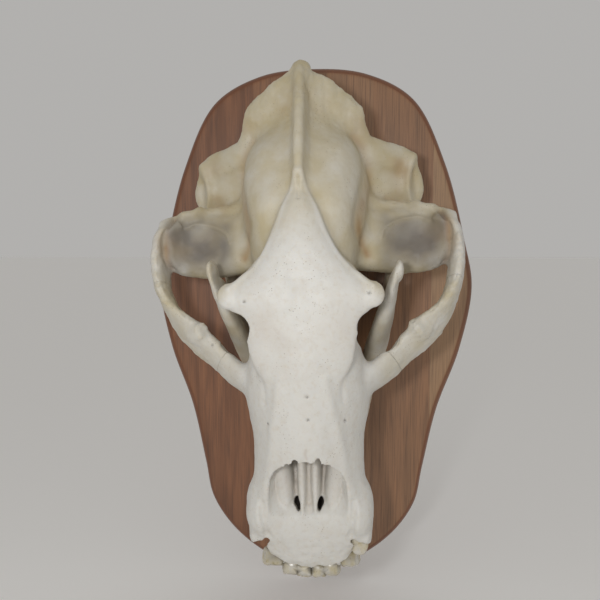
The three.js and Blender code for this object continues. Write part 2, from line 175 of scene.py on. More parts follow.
def smooth_rows(rows, at):
    """The columns of a table after its first, read at places between its first and last rows."""
    rows = np.asarray(rows, float)
    knots = rows[:, 0]
    index = np.arange(len(knots))
    before = np.maximum(index - 1, 0)
    after = np.minimum(index + 1, len(knots) - 1)
    slope = (rows[after] - rows[before]) / (knots[after] - knots[before])[:, None]
    low = np.clip(np.searchsorted(knots, at) - 1, 0, len(knots) - 2)
    span = (knots[low + 1] - knots[low])[:, None]
    t = np.clip((at - knots[low])[:, None] / span, 0, 1)
    bend = t * (1 - t) ** 2 * slope[low] - t * t * (1 - t) * slope[low + 1]
    return (rows[low] + (rows[low + 1] - rows[low]) * t * t * (3 - 2 * t) + span * bend)[:, 1:]


def squared(value, power):
    """Cosine or sine pushed outward: a power of 2 is round and more is squarer."""
    return np.sign(value) * np.abs(value) ** (2 / power)


def ease(value, low, high):
    """0 below low, 1 above high and a soft step between."""
    t = np.clip((value - low) / (high - low), 0, 1)
    return t * t * (3 - 2 * t)


def ring_turns(sides):
    return 2 * np.pi * (np.arange(sides) + 0.5) / sides


print("skull frame set", [round(v, 3) for v in SKULL_MATRIX.translation])

# %% [markdown]
# ## Rings of points
# Every piece of clay is a closed skin over a row of rings. A Blender curve with a bevel could sweep a ring
# too, but the rings of a skull change in width, height and lean all the time, so their points are worked
# out here and joined with faces directly. Four kinds are enough: a form along the skull, one across it, a
# bar along a bent line, and an egg.

# %% Rings into closed forms
def closed_skin(rings):
    """Points and faces of a closed form through rings of points, with a fan over each end."""
    steps, sides = rings.shape[:2]
    hubs = rings[[0, -1]].mean(1)
    points = np.concatenate([rings.reshape(-1, 3), hubs])
    grid = np.arange(steps * sides).reshape(steps, sides)
    nxt = np.roll(grid, -1, 1)
    quads = np.stack([grid[:-1], nxt[:-1], nxt[1:], grid[1:]], -1).reshape(-1, 4).tolist()
    first = [[steps * sides, int(b), int(a)] for a, b in zip(grid[0], nxt[0])]
    last = [[steps * sides + 1, int(a), int(b)] for a, b in zip(grid[-1], nxt[-1])]
    return points, quads + first + last


def form_along(rows, sides=72, steps=180, power=2.2):
    """A form drawn along the skull from rows of along, half width, top, bottom, lean."""
    at = np.linspace(rows[0][0], rows[-1][0], steps)
    half, top, bottom, lean = (column[:, None] for column in smooth_rows(rows, at).T)
    turns = ring_turns(sides)
    up = squared(np.sin(turns), power)
    across = half * squared(np.cos(turns), power) * (1 - lean * up)
    return closed_skin(place(across, at[:, None], (top + bottom) / 2 + up * (top - bottom) / 2))


def form_across(rows, side, sides=60, steps=80, power=2.6):
    """A form drawn across the skull from rows of across, front, back, top, bottom."""
    at = np.linspace(rows[0][0], rows[-1][0], steps)
    front, back, top, bottom = (column[:, None] for column in smooth_rows(rows, at).T)
    turns = ring_turns(sides)
    along = (front + back) / 2 + squared(np.cos(turns), power) * (front - back) / 2
    height = (top + bottom) / 2 + squared(np.sin(turns), power) * (top - bottom) / 2
    return closed_skin(place(side * at[:, None], along, height))


def form_swept(rows, side, sides=48, steps=160, power=2.1):
    """A bar along a bent line of across, along, height, half thickness, half depth, lean."""
    rows = np.asarray(rows, float)
    table = np.column_stack([np.linspace(0, 1, len(rows)), rows])
    read = smooth_rows(table, np.linspace(0, 1, steps))
    line = place(side * read[:, 0], read[:, 1], read[:, 2])
    ahead = np.gradient(line, axis=0)
    ahead /= np.linalg.norm(ahead, axis=1, keepdims=True)
    thick = np.cross(ahead, (0, -1, 0))
    thick /= np.linalg.norm(thick, axis=1, keepdims=True)
    deep = np.cross(thick, ahead)
    lean = np.radians(side * read[:, 5])[:, None]
    thick, deep = thick * np.cos(lean) - deep * np.sin(lean), deep * np.cos(lean) + thick * np.sin(lean)
    turns = ring_turns(sides)
    out = squared(np.cos(turns), power)[None, :, None] * thick[:, None] * read[:, 3, None, None] * MM
    up = squared(np.sin(turns), power)[None, :, None] * deep[:, None] * read[:, 4, None, None] * MM
    return closed_skin(line[:, None] + out + up)


def egg(row, side=1, sides=40, steps=24):
    """An egg from its middle and its three half sizes."""
    across, along, height, half_across, half_along, half_height = row
    polar = np.linspace(0.02, np.pi - 0.02, steps)[:, None]
    turns = ring_turns(sides)
    x = side * across + half_across * np.sin(polar) * np.cos(turns)
    y = along + half_along * np.cos(polar) * np.ones(sides)
    return closed_skin(place(x, y, height + half_height * np.sin(polar) * np.sin(turns)))


def clay_object(name, forms):
    """One object from many overlapping closed forms, with every face turned outward."""
    points, faces, start = [], [], 0
    for form_points, form_faces in forms:
        points.append(form_points)
        faces += [[index + start for index in face] for face in form_faces]
        start += len(form_points)
    mesh = bpy.data.meshes.new(name)
    mesh.from_pydata(np.concatenate(points).tolist(), [], faces)
    work = bmesh.new()
    work.from_mesh(mesh)
    bmesh.ops.recalc_face_normals(work, faces=work.faces)
    work.to_mesh(mesh)
    work.free()
    made = bpy.data.objects.new(name, mesh)
    bpy.context.scene.collection.objects.link(made)
    return made


print("clay helpers ready")

# %% [markdown]
# ## Melting, cutting and filling
# A Remesh modifier in voxel mode turns the overlapping clay into one even skin. Where two forms meet it
# leaves a sharp valley, and real bone has none: it grows across in a soft hollow. So the script then moves
# each point towards the middle of its neighbours, but only outward. Valleys fill up and ridges stay sharp,
# which an ordinary Smooth modifier would not do.

# %% Helpers for melting and filling
def apply_modifiers(target):
    """Replaces an object's mesh by what its modifiers make of it."""
    depsgraph = bpy.context.evaluated_depsgraph_get()
    made = bpy.data.meshes.new_from_object(target.evaluated_get(depsgraph))
    old = target.data
    target.modifiers.clear()
    target.data = made
    made.name = target.name
    bpy.data.meshes.remove(old)


def melt(target, voxel_mm):
    """One even skin over everything in the object."""
    remesh = target.modifiers.new("melt", "REMESH")
    remesh.mode = "VOXEL"
    remesh.voxel_size = voxel_mm * MM
    apply_modifiers(target)


def carve(target, cutter, operation="DIFFERENCE"):
    """Cuts one object with another, which is then removed."""
    cut = target.modifiers.new("carve", "BOOLEAN")
    cut.operation = operation
    cut.solver = "MANIFOLD"
    cut.object = cutter
    apply_modifiers(target)
    bpy.data.objects.remove(cutter)


print("melting helpers ready")

# %% [markdown]
# ## A mesh as arrays
# Some moves that a skull needs have no modifier, such as filling valleys while ridges stay. They could be
# done with bmesh point by point, but so many points would take minutes. Here the points, edges and
# faces of a mesh are read into arrays, so one line moves them all.

# %% A skin of points
class Skin:
    """A mesh's points, edges and faces as arrays, for moves that Blender has no modifier for."""

    def __init__(self, target):
        self.target = target
        mesh = target.data
        self.points = np.empty(len(mesh.vertices) * 3)
        mesh.vertices.foreach_get("co", self.points)
        self.points = self.points.reshape(-1, 3)
        self.edges = np.empty(len(mesh.edges) * 2, int)
        mesh.edges.foreach_get("vertices", self.edges)
        self.edges = self.edges.reshape(-1, 2)
        mesh.calc_loop_triangles()
        self.faces = np.empty(len(mesh.loop_triangles) * 3, int)
        mesh.loop_triangles.foreach_get("vertices", self.faces)
        self.faces = self.faces.reshape(-1, 3)
        self.degree = np.bincount(self.edges.ravel(), minlength=len(self.points))[:, None]

    def spread(self, values):
        """Each point's sum over its neighbours."""
        a, b = self.edges.T
        count = len(self.points)
        total = [np.bincount(a, v[b], count) + np.bincount(b, v[a], count) for v in values.T]
        return np.stack(total, -1)

    def pull(self, values=None):
        """How far each value is from the middle of its neighbours' values."""
        values = self.points if values is None else values
        return self.spread(values) / np.maximum(self.degree, 1) - values

    def normals(self):
        a, b, c = (self.points[self.faces[:, i]] for i in range(3))
        flat = np.cross(b - a, c - a)
        count = len(self.points)
        total = [sum(np.bincount(self.faces[:, i], flat[:, k], count) for i in range(3)) for k in range(3)]
        made = np.stack(total, -1)
        return made / np.maximum(np.linalg.norm(made, axis=1, keepdims=True), 1e-12)

    def fill_valleys(self, rounds, share):
        """Moves points outward only, towards the middle of their neighbours."""
        for _ in range(rounds):
            normal = self.normals()
            rise = (self.pull() * normal).sum(1, keepdims=True)
            self.points += normal * np.maximum(rise, 0) * share

    def soften(self, rounds):
        """Evens out steps and facets without shrinking: one move in, one move back out."""
        for _ in range(rounds):
            self.points += 0.5 * self.pull()
            self.points -= 0.52 * self.pull()

    def hollowness(self, rounds=10):
        """How deep each point lies in a valley, in metres, spread a little over the skin."""
        value = (self.pull() * self.normals()).sum(1, keepdims=True)
        for _ in range(rounds):
            value = value + 0.8 * self.pull(value)
        return value[:, 0]

    def parts(self):
        """Across, along and height of each point in millimetres."""
        return self.points[:, 0] / MM, -self.points[:, 2] / MM, -self.points[:, 1] / MM

    def store(self):
        self.target.data.vertices.foreach_set("co", self.points.ravel())
        self.target.data.update()


print("skin helper ready")

# %% [markdown]
# ## The sizes of the cranium
# The numbers below are the sizes of a large brown bear: about 400 mm from the crest's rear tip to the
# incisors and 250 mm across the cheek arches. They follow the solids closely, so the bone stays where its
# solid is, though some rows differ a little from theirs. Each table could be a curve drawn by
# hand in the viewport, but numbers can be measured on the animal and corrected one at a time.

# %% Cranium tables
# along, half width, top, bottom, lean
BODY = [
    [24, 28, 60, 16, 0.05], [34, 41, 74, 4, 0.05], [60, 50, 86, -2, 0.1], [90, 54, 95, -4, 0.12],
    [120, 51, 101, -2, 0.12], [145, 43, 103, 4, 0.1], [165, 38, 104, 10, 0.05], [190, 40, 106, 8, 0],
    [212, 41, 101, 2, 0.05], [232, 45, 95, -1, 0.16], [252, 48, 86, -2, 0.24], [272, 45, 77.5, -2, 0.26],
    [288, 42, 71, -2, 0.26], [306, 42, 62, -2, 0.24], [319, 43, 53, -3, 0.22], [327, 47, 47, -3, 0.2],
    [338, 49.5, 40, -3, 0.18], [352, 49, 31, -3, 0.16], [366, 47.5, 23.5, -4, 0.14], [370, 44, 21, -4, 0.14],
    [374, 36, 18.5, -4, 0.14], [380, 32.5, 15, -5, 0.12], [387, 26, 9.5, -6, 0.1], [392, 17, 4, -6, 0.1],
]
CREST = [
    [-1, 7, 88, 76, 0], [8, 7.5, 94, 66, 0.05], [24, 6.5, 100, 60, 0.2], [55, 5.5, 107.5, 72, 0.25],
    [88, 5.5, 111.5, 82, 0.3], [104, 5, 110, 86, 0.3], [120, 4, 104, 90, 0.1],
]
SHIELD = [
    [103, 3.5, 101, 92, 0], [116, 8.5, 107, 90, 0], [133, 15.5, 109.5, 87, 0], [157, 28.5, 109.5, 82, 0],
    [172, 42, 108.5, 80, 0], [184, 55, 107.5, 80, 0], [191, 59, 106.5, 81, 0], [198, 51, 105, 81, 0],
    [206, 43.5, 102.5, 79, 0], [218, 40, 98.5, 77, 0], [236, 36, 91, 70, 0], [256, 26, 81, 62, 0],
]
OCCIPUT = [
    [25, 30, 78, 22, 0.3], [38, 45, 80, 8, 0.35], [52, 68, 74, -2, 0.42], [66, 84, 62, -6, 0.46],
    [80, 90, 48, -8, 0.4], [98, 84, 34, -6, 0.3],
]
# across, along, height, half thickness, half depth, lean in degrees
NUCHAL = [
    [0, 13, 85, 10, 4, 0], [12, 18, 81, 12, 4, 0], [25, 26, 74, 13, 4, 0], [36.5, 34, 66, 13, 4.5, 0],
    [42, 45, 57, 11, 4.5, 0], [49, 55, 51, 11, 5, 0], [64, 59, 43, 12, 5, 0], [78, 61, 34, 13, 5.5, 0],
    [84, 69, 25, 13, 6, 0], [88, 79, 16, 13, 7, 0], [84, 91, 11, 12, 7, 0],
]
# across, front, back, top, bottom
SHELF = [
    [30, 154, 86, 58, 12], [60, 157, 92, 46, 16], [80, 159, 97, 42, 21], [98, 158, 102, 44, 25],
    [112, 153, 107, 50, 30], [121, 142, 113, 56, 37],
]
# across, along, height, half thickness, half depth, lean in degrees
ARCH = [
    [104, 118, 42, 6, 9, 0], [117, 126, 46, 6, 13, 0], [119.5, 140, 47, 5.5, 16, 0],
    [119.5, 156, 45, 5.8, 18, 2], [117, 172, 41, 6, 19, 6], [110.5, 188, 36, 6, 19, 16],
    [101, 200, 33, 6.2, 18.5, 28], [88, 212.5, 30, 7, 18, 30], [73, 225.5, 28, 7.5, 18, 25],
    [58, 238.5, 28, 8.5, 20, 18], [43, 248, 30, 9.5, 24, 10],
]
CHEEK_PROCESS = [[93, 207, 36, 8, 8, 0], [87, 206, 43, 8, 7, 0], [82, 206, 48, 6, 5, 0]]
# eggs: across, along, height of the middle, then the three half sizes
LUMPS = [
    [3, 6, 86.5, 5.5, 5, 6],  # rear tip of the crest
    [51, 189, 96.5, 9, 10, 6.5],  # corner of the forehead behind the eye
    [21, 22, 14, 13, 12, 15],  # roller beside the spinal cord
    [88, 77, 0, 13, 17, 20],  # lump behind the ear
    [60, 53, -6, 9, 9, 15],  # peg between the two
    [76, 100, 12, 20, 5, 12],  # ledge behind the jaw joint
    [38, 345, 14, 12.5, 21, 19],  # bulge over the root of the canine
    [43.5, 364.5, 8, 5, 8, 12],  # lip of the canine's socket
]
# along, half width, top, bottom, lean
NOSE = [
    [284, 15, 52, 28, 0.1], [300, 21, 58, 15, 0.15], [312, 26, 63, 12, 0.1], [328, 31, 66, 15, -0.1],
    [342, 33, 62, 23, 0.05], [352, 32, 58, 26.5, 0.15], [361, 30, 52, 24.5, 0.2], [369, 26, 46, 21.5, 0.2],
]
# eggs that are cut out
SPINAL_HOLE = [0, 14, 27, 14, 16, 12]
CANINE_NOTCHES = [[34, 368, 2, 4.2, 3.2, 20], [40, 372.2, 2, 6.5, 3.8, 20]]
ORBIT_HOOKS = [[-53, 212, 62, 18, 14, 75], [55.5, 212, 62, 17, 14, 75]]
print("cranium tables:", len(BODY), "sections along the body")

# %% [markdown]
# ## Materials from nodes
# A material in Blender is a small graph of nodes. Drawing it in the editor is quick for one, but three
# materials here take the same steps. So one function adds any node with its settings and links, and another
# ties colour, roughness and bump to the shader at the end.

# %% One function for nodes
def add_node(tree, kind, inputs=None, **settings):
    """Adds a node with its settings. An input is linked if it is given a node or a socket, else set."""
    node = tree.nodes.new("ShaderNode" + kind)
    for name, value in settings.items():
        setattr(node, name, value)
    for name, value in (inputs or {}).items():
        if isinstance(value, bpy.types.Node):
            value = next(socket for socket in value.outputs if socket.enabled)
        if isinstance(value, bpy.types.NodeSocket):
            tree.links.new(value, node.inputs[name])
        else:
            node.inputs[name].default_value = value
    return node


def per_metre(size_mm):
    """The scale of a pattern whose repeats are one size apart."""
    return 1 / (size_mm * MM)


def finish_material(tree, layers, ground, roughness, relief, relief_mm, strength):
    """Lays colours over a ground colour, each with its share, and ties colour, roughness and bump."""
    shader = tree.nodes["Principled BSDF"]
    colour = hex_to_linear(ground)
    for share, code in layers:
        colour = add_node(tree, "Mix", {0: share, 6: colour, 7: hex_to_linear(code)}, data_type="RGBA")
    bump = add_node(tree, "Bump", {"Height": relief, "Strength": strength, "Distance": relief_mm * MM})
    for name, node in (("Base Color", colour), ("Roughness", roughness), ("Normal", bump)):
        tree.links.new(next(socket for socket in node.outputs if socket.enabled), shader.inputs[name])
    return shader


print("node helper ready")

# %% [markdown]
# ## The material of bone
# Bleached bone is white with a matt, slightly waxy skin. Behind the forehead, where the chewing muscle lay,
# it keeps more fat and stays ivory yellow. Brown stain collects in grooves, hollows get painted shade in the
# same brown, and thin plates look grey because light goes into them. Four strengths of stain and painted
# shade are kept on the points of the skin and mixed in the shader, so each lies exactly where the shape
# gives it cause. Pores and mottling are procedural textures whose scales come from their real sizes.

# %% Bone
BONE_WHITE = "#D6D4CE"
BONE_CLOUD = "#CBC3B6"
BONE_IVORY = "#BEB292"
# Tan is brown stain in grooves and spots, and painted shade in hollows and along the inner arch walls.
BONE_TAN_STAIN_AND_SHADE = "#9C7546"
BONE_GREY = "#6F6A67"
BONE_PORE = "#7E6A52"
# Painted shade in the blood-vessel holes and the slits of the nose.
BONE_HOLE_SHADE = "#33251A"
MOTTLE_MM = 11
GRAIN_MM = 0.7
PORE_MM = 2.1
PORE_FIELD_MM = 17
FLECK_MM = 3.2
# Real pores are about 0.3 mm wide and closer together. They are drawn coarser, so that they show.


def bone_material():
    """Boiled and bleached bone: matt, a little waxy, with pores that look like fine pepper."""
    material = bpy.data.materials.new("bleached bone")
    material.use_nodes = True
    tree = material.node_tree
    stain_and_shade = add_node(tree, "Attribute", attribute_name="stain_and_shade")
    strengths = add_node(tree, "SeparateColor", {0: stain_and_shade.outputs["Color"]}).outputs
    where = add_node(tree, "TexCoord").outputs["Object"]
    noise = {"Vector": where, "Scale": per_metre(MOTTLE_MM), "Detail": 5.0, "Roughness": 0.6}
    mottle = add_node(tree, "TexNoise", noise)
    grain = add_node(tree, "TexNoise", {"Vector": where, "Scale": per_metre(GRAIN_MM), "Detail": 3.0})
    field = add_node(tree, "TexNoise", {"Vector": where, "Scale": per_metre(PORE_FIELD_MM), "Detail": 3.0})
    cells = add_node(tree, "TexVoronoi", {"Vector": where, "Scale": per_metre(PORE_MM)})
    dots = add_node(tree, "MapRange", {0: cells.outputs["Distance"], 1: 0.2, 2: 0.1})
    some = add_node(tree, "MapRange", {0: field, 1: 0.5, 2: 0.64, 4: 0.65})
    pores = add_node(tree, "Math", {0: dots, 1: some}, operation="MULTIPLY")
    thin = add_node(tree, "MapRange", {0: mottle, 1: 0.25, 2: 0.6, 3: 0.75, 4: 1.05})
    thick = add_node(tree, "MapRange", {0: mottle, 1: 0.2, 2: 0.7, 3: 1.1, 4: 0.6})
    ivory = add_node(tree, "Math", {0: strengths[0], 1: thin}, operation="MULTIPLY")
    brown = add_node(tree, "Math", {0: strengths[1], 1: thick}, operation="MULTIPLY")
    cloud = add_node(tree, "MapRange", {0: mottle, 1: 0.48, 2: 0.75, 4: 0.4})
    flecks = add_node(tree, "TexNoise", {"Vector": where, "Scale": per_metre(FLECK_MM), "Detail": 4.0})
    fleck = add_node(tree, "MapRange", {0: flecks, 1: 0.52, 2: 0.72, 4: 0.45})
    layers = [(cloud, BONE_CLOUD), (fleck, BONE_CLOUD), (ivory, BONE_IVORY), (brown, BONE_TAN_STAIN_AND_SHADE)]
    # The alpha strength is painted shade in the holes and slits.
    layers += [(strengths[2], BONE_GREY), (pores, BONE_PORE), (stain_and_shade.outputs["Alpha"], BONE_HOLE_SHADE)]
    roughness = add_node(tree, "MapRange", {0: mottle, 1: 0.3, 2: 0.7, 3: 0.46, 4: 0.62})
    relief = add_node(tree, "Math", {0: grain, 1: pores}, operation="SUBTRACT")
    shader = finish_material(tree, layers, BONE_WHITE, roughness, relief, 0.4, 0.35)
    shader.inputs["IOR"].default_value = 1.55
    shader.inputs["Subsurface Weight"].default_value = 0.12
    shader.inputs["Subsurface Radius"].default_value = (1.0, 0.8, 0.55)
    shader.inputs["Subsurface Scale"].default_value = 1.5 * MM
    return material


BONE = bone_material()
print("bone material with", len(BONE.node_tree.nodes), "nodes")

# %% [markdown]
# ## Melting and carving the cranium
# The clay forms of the braincase, crest, forehead, arches and lumps are put together and melted, first
# coarsely. The valleys are filled at that size, because a coarse skin lets the filling reach further in
# few rounds. Then the nose, the eye sockets, the hole for the spinal cord and the notches of the canines
# are cut. Leaves of bone go back into the nose, as those that carried the damp folds a bear smells with,
# and a slit is cut beside each of the middle ones. The whole is melted again at a fine size, which makes
# the cut edges even.

# %% Cranium clay
NOSE_FLOOR_ROUNDS = 60
# middle, half width, top at the rear, top at the front, share by which it leans inward
LEAVES = [
    [-5.6, 4.4, 40, 29, 0.15], [6.0, 4.4, 40, 29, 0.15], [0.2, 2.4, 29, 22, 0],
    [-27, 9, 43, 27, 0.36], [27.5, 9, 43, 27, 0.36],
]
LEAF_FLOOR = 8
LEAF_FROM = 284
LEAF_TO = 349
COARSE_VOXEL = 2.0
FINE_VOXEL = 1.0
RIM_NOTCHES = [
    [-8, 306.5, 60, 1.6, 2.4, 6], [9.5, 305.5, 60, 1.5, 3.2, 6],
    [-14, 309, 56, 1.2, 2, 6], [17, 310, 55, 1.2, 2, 6],
]
PALATE_SLIT = [[9.6, 338.5, 19, 2.2, 3.8, 19], [8.2, 341.5, 19, 1.7, 4.4, 19]]
SLIT_PLACE = (9, 340)
SLIT_REACH = (3.4, 6.5)

forms = [form_along(BODY), form_along(CREST, power=2.8), form_along(SHIELD, power=2), form_along(OCCIPUT)]
for side in (-1, 1):
    forms += [form_swept(NUCHAL, side), form_across(SHELF, side), form_swept(ARCH, side)]
    forms += [form_swept(CHEEK_PROCESS, side, steps=40)]
    forms += [egg(row, side) for row in LUMPS]
cranium = clay_object("cranium_bone", forms)
melt(cranium, COARSE_VOXEL)
skin = Skin(cranium)
skin.fill_valleys(rounds=40, share=0.6)
skin.store()
nose_forms = [form_along(NOSE, power=2.4), egg(SPINAL_HOLE)]
nose_forms += [egg(row) for row in RIM_NOTCHES + ORBIT_HOOKS]
nose_forms += [egg(row, side) for row in CANINE_NOTCHES for side in (-1, 1)]
cutter = clay_object("nose_cutter", nose_forms)
melt(cutter, FINE_VOXEL)
carve(cranium, cutter)
for middle, half, top_rear, top_front, lean_in in LEAVES:
    rows = [
        [LEAF_FROM, half * 0.8, top_rear, LEAF_FLOOR, 0.15],
        [305, half, top_rear * 0.55 + top_front * 0.45, LEAF_FLOOR, 0.2],
        [330, half * 0.95, top_front + 1, LEAF_FLOOR, 0.2],
        [LEAF_TO, half * 0.6, top_front - 1.5, LEAF_FLOOR, 0.2],
    ]
    points, faces = form_along(rows, 32, 60, 2.4)
    run = (-points[:, 2] / MM - LEAF_FROM) / (LEAF_TO - LEAF_FROM)
    points[:, 0] += middle * (1 - lean_in * run) * MM
    carve(cranium, clay_object("nose_leaf", [(points, faces)]), "UNION")
slit_cutter = clay_object("palate_slit", [egg(row, side) for row in PALATE_SLIT for side in (-1, 1)])
melt(slit_cutter, FINE_VOXEL / 2)
carve(cranium, slit_cutter)
melt(cranium, FINE_VOXEL)
skin = Skin(cranium)
skin.soften(8)
across, along, height = skin.parts()
nose_floor = ease(along, 345, 352) * ease(np.abs(across), 29, 22) * ease(height, 8, 14)
for _ in range(NOSE_FLOOR_ROUNDS):
    skin.points += 0.5 * nose_floor[:, None] * skin.pull()
print("cranium:", len(skin.points), "points")

# %% [markdown]
# ## Ridges, grooves and rough edges
# A sculptor now works over the top with small tools. Each ridge or groove is a line of places seen from
# above, in millimetres across and along, with a width and a rise, and both sides get it. The coordinates
# are first bent a little by slow noise, so the two sides differ as they do on a real animal. Muscle edges
# are rough, so the arches and the rear edge get more noise than the smooth braincase.

# %% Small tools for the surface
def slow_noise(points, size_mm, seed):
    """Smooth random values from -1 to 1 that change over about one size, the same at every run."""
    table = np.random.default_rng(seed).uniform(-1, 1, (32, 32, 32))
    scaled = points / (size_mm * MM)
    cell = np.floor(scaled).astype(int)
    t = scaled - cell
    t = t * t * (3 - 2 * t)
    total = np.zeros(len(points))
    for corner in np.ndindex(2, 2, 2):
        index = (cell + corner) % 32
        total += np.where(corner, t, 1 - t).prod(1) * table[tuple(index.T)]
    return total


def line_distance(across, along, points):
    """Distance in plan from places to a bent line through a few points."""
    rows = np.column_stack([np.arange(len(points)), np.asarray(points, float)])
    line = smooth_rows(rows, np.linspace(0, len(points) - 1, 3 * len(points)))
    best = np.full(len(across), 1e9)
    for start, end in zip(line[:-1], line[1:]):
        step = end - start
        share = ((across - start[0]) * step[0] + (along - start[1]) * step[1]) / (step @ step)
        share = np.clip(share, 0, 1)
        aside = across - start[0] - share * step[0]
        ahead = along - start[1] - share * step[1]
        best = np.minimum(best, np.hypot(aside, ahead))
    return best


def line_share(across, along, line, width):
    """1 on a bent line, falling softly to 0 over a few widths."""
    return np.exp(-(line_distance(across, along, line) / width) ** 2)


def spot_share(across, along, spot_across, spot_along, radius):
    """1 in the middle of a spot, falling softly to 0 over a few radii."""
    return np.exp(-((across - spot_across) ** 2 + (along - spot_along) ** 2) / radius ** 2)


# lines seen from above: across, along
TEMPORAL_LINE = [
    (1.2, 99), (3.2, 104), (9.8, 120), (16, 136), (24.5, 154), (30.5, 164), (41, 175), (51, 184),
]
CASE_GROOVE = [(42, 52), (49, 61), (52.5, 74), (51, 92), (47, 108), (43, 126), (45, 137), (50, 146)]
MASTOID_RIDGE = [(89, 60), (87, 66), (85.2, 74), (84.6, 82), (86, 90), (88.5, 100), (94, 106.5), (103, 109)]
SHELF_ARC = [(63, 132), (66, 124), (75, 118), (84, 115.5), (93, 115), (99, 119)]
ROOT_GROOVE = [(41, 237), (35, 243), (30.5, 249), (29, 256), (28.5, 264)]
SNOUT_EDGE = [(17, 248), (20, 269), (23.5, 283), (29, 312), (35, 334)]
CANINE_GROOVE = [(34, 337), (35, 346), (33.5, 355), (31, 363)]
CANINE_RIDGE = [(37, 339), (37, 348), (35.5, 357)]
NOSE_RIM = [(26, 317), (30, 330), (32, 342), (30.5, 354), (28, 362)]
NASAL_SEAM = [(1.2, 297), (0.6, 300.5), (1.4, 304)]
ARCH_INSIDE = [(109, 112), (112, 122), (113.5, 134), (113, 146), (110, 157)]
# width, rise and line of each ridge or groove
TOOLS = [
    [4.0, 1.3, [(0, 2), (0, 50), (0, 98)]],
    [1.1, -1.5, [(0.2, 104), (0.2, 119)]],
    [2.1, 1.4, TEMPORAL_LINE],
    [6.0, -1.8, [(9, 112), (16, 125), (23, 141), (31, 157), (37, 167)]],
    [5.0, -3.2, CASE_GROOVE],
    [15.0, 4.0, [(28, 76), (31, 98), (27, 118)]],
    [11.0, -2.0, [(68, 74), (64, 96), (58, 122)]],
    [7.0, -3.5, [(60, 104), (72, 103), (84, 102)]],
    [8.0, 2.5, [(70, 85), (78, 85)]],
    [3.8, 4.8, MASTOID_RIDGE],
    [4.0, -3.0, [(93, 72), (94, 86)]],
    [1.4, 1.3, SHELF_ARC],
    [13.0, -4.0, [(80, 130), (93, 131)]],
    [2.2, -2.6, ARCH_INSIDE],
    [1.8, -0.6, ROOT_GROOVE],
    [4.0, 1.4, SNOUT_EDGE],
    [2.6, -1.7, CANINE_GROOVE],
    [3.2, 1.5, CANINE_RIDGE],
    [2.4, 1.1, NOSE_RIM],
    [10.0, -1.6, [(0, 180), (0, 205), (0, 228)]],
    [0.8, -0.4, NASAL_SEAM],
    [10.0, -2.2, [(17, 26), (25, 38), (32, 46)]],
]
HOLES = [(3.5, 260), (3.6, 276), (30, 276.5), (-27, 278.5), (-39, 194), (48.5, 189.5), (-75, 217)]
HOLE_RADIUS = 0.75
HOLE_DEPTH = 3.0
print("tools:", len(TOOLS), "ridges and grooves,", len(HOLES), "holes")

# %% [markdown]
# ## Working over the surface
# Every point of the skin now moves along its normal by the sum of all tools. Sculpt brushes would do the
# same by hand, but a list of lines can be run again and corrected one by one. Only faces that look up from
# the tooth row are marked, so a line drawn from above doesn't show on the underside as well.

# %% Sculpt the cranium
across, along, height = skin.parts()
normal = skin.normals()
warp = [1.6 * slow_noise(skin.points, 34, seed) for seed in (1, 2)]
mirrored = np.abs(across + warp[0])
shifted = along + warp[1]
upward = ease(-normal[:, 1], 0.0, 0.45)
move = np.zeros(len(across))
for width, rise, line in TOOLS:
    move += rise * line_share(mirrored, shifted, line, width) * upward
for hole in HOLES:
    move -= HOLE_DEPTH * spot_share(across, along, *hole, HOLE_RADIUS) * upward
edge_share = ease(-skin.hollowness(4) / MM, 0.02, 0.09)
arch_share = ease(np.abs(across), 58, 75) * ease(along, 122, 140) * (0.12 + 0.88 * edge_share)
rear_share = ease(along, 60, 30)
tooth_share = ease(along, 352, 380)
rough = 0.2 + 2.5 * arch_share + 0.6 * rear_share + 0.5 * tooth_share
move += rough * slow_noise(skin.points, 6, 3) + 0.5 * rough * slow_noise(skin.points, 2.8, 4)
move += 0.5 * slow_noise(skin.points, 19, 5)
skin.points += normal * move[:, None] * MM
skin.soften(1)
skin.store()
print("surface moved by up to", round(float(np.abs(move).max()), 1), "mm")

# %% [markdown]
# ## Three bones of one skin
# The two zygomatic bones carry the middle of each arch and meet the cranium in seams that never quite
# close. A thin blade cuts each seam, at the places where the solids are parted, and the faces
# between the two blades become a bone of their own.

# %% Part the arches
# across, along and turn in degrees of the rear and the front seam
SEAMS = [(119, 168, 12), (72, 233, 48)]
SEAM_GAP = 0.3
# width, depth and height of the middle
BLADE = (44, 90, 30)


def seam_frame(side, seam):
    """Middle and direction along the arch of one seam, in the skull's frame."""
    turn = math.radians(side * seam[2])
    middle = Vector((side * seam[0], -BLADE[2], -seam[1])) * MM
    return middle, Vector((math.sin(turn), 0, math.cos(turn)))


def blade_object(side, seam):
    """A thin slab across the arch."""
    middle, ahead = seam_frame(side, seam)
    flat = ahead.cross(Vector((0, 1, 0)))
    corners = []
    for a in (-0.5, 0.5):
        for b in (-0.5, 0.5):
            for c in (-0.5, 0.5):
                step = flat * a * BLADE[0] + Vector((0, b * BLADE[1], 0)) + ahead * c * SEAM_GAP
                corners.append(middle + step * MM)
    faces = [(0, 1, 3, 2), (4, 6, 7, 5), (0, 4, 5, 1), (2, 3, 7, 6), (0, 2, 6, 4), (1, 5, 7, 3)]
    return clay_object("seam_blade", [(np.array([list(v) for v in corners]), [list(f) for f in faces])])


def keep_faces(target, keep):
    """Deletes the faces that are not kept."""
    work = bmesh.new()
    work.from_mesh(target.data)
    work.faces.ensure_lookup_table()
    bmesh.ops.delete(work, geom=[work.faces[i] for i in np.flatnonzero(~keep)], context="FACES")
    work.to_mesh(target.data)
    work.free()


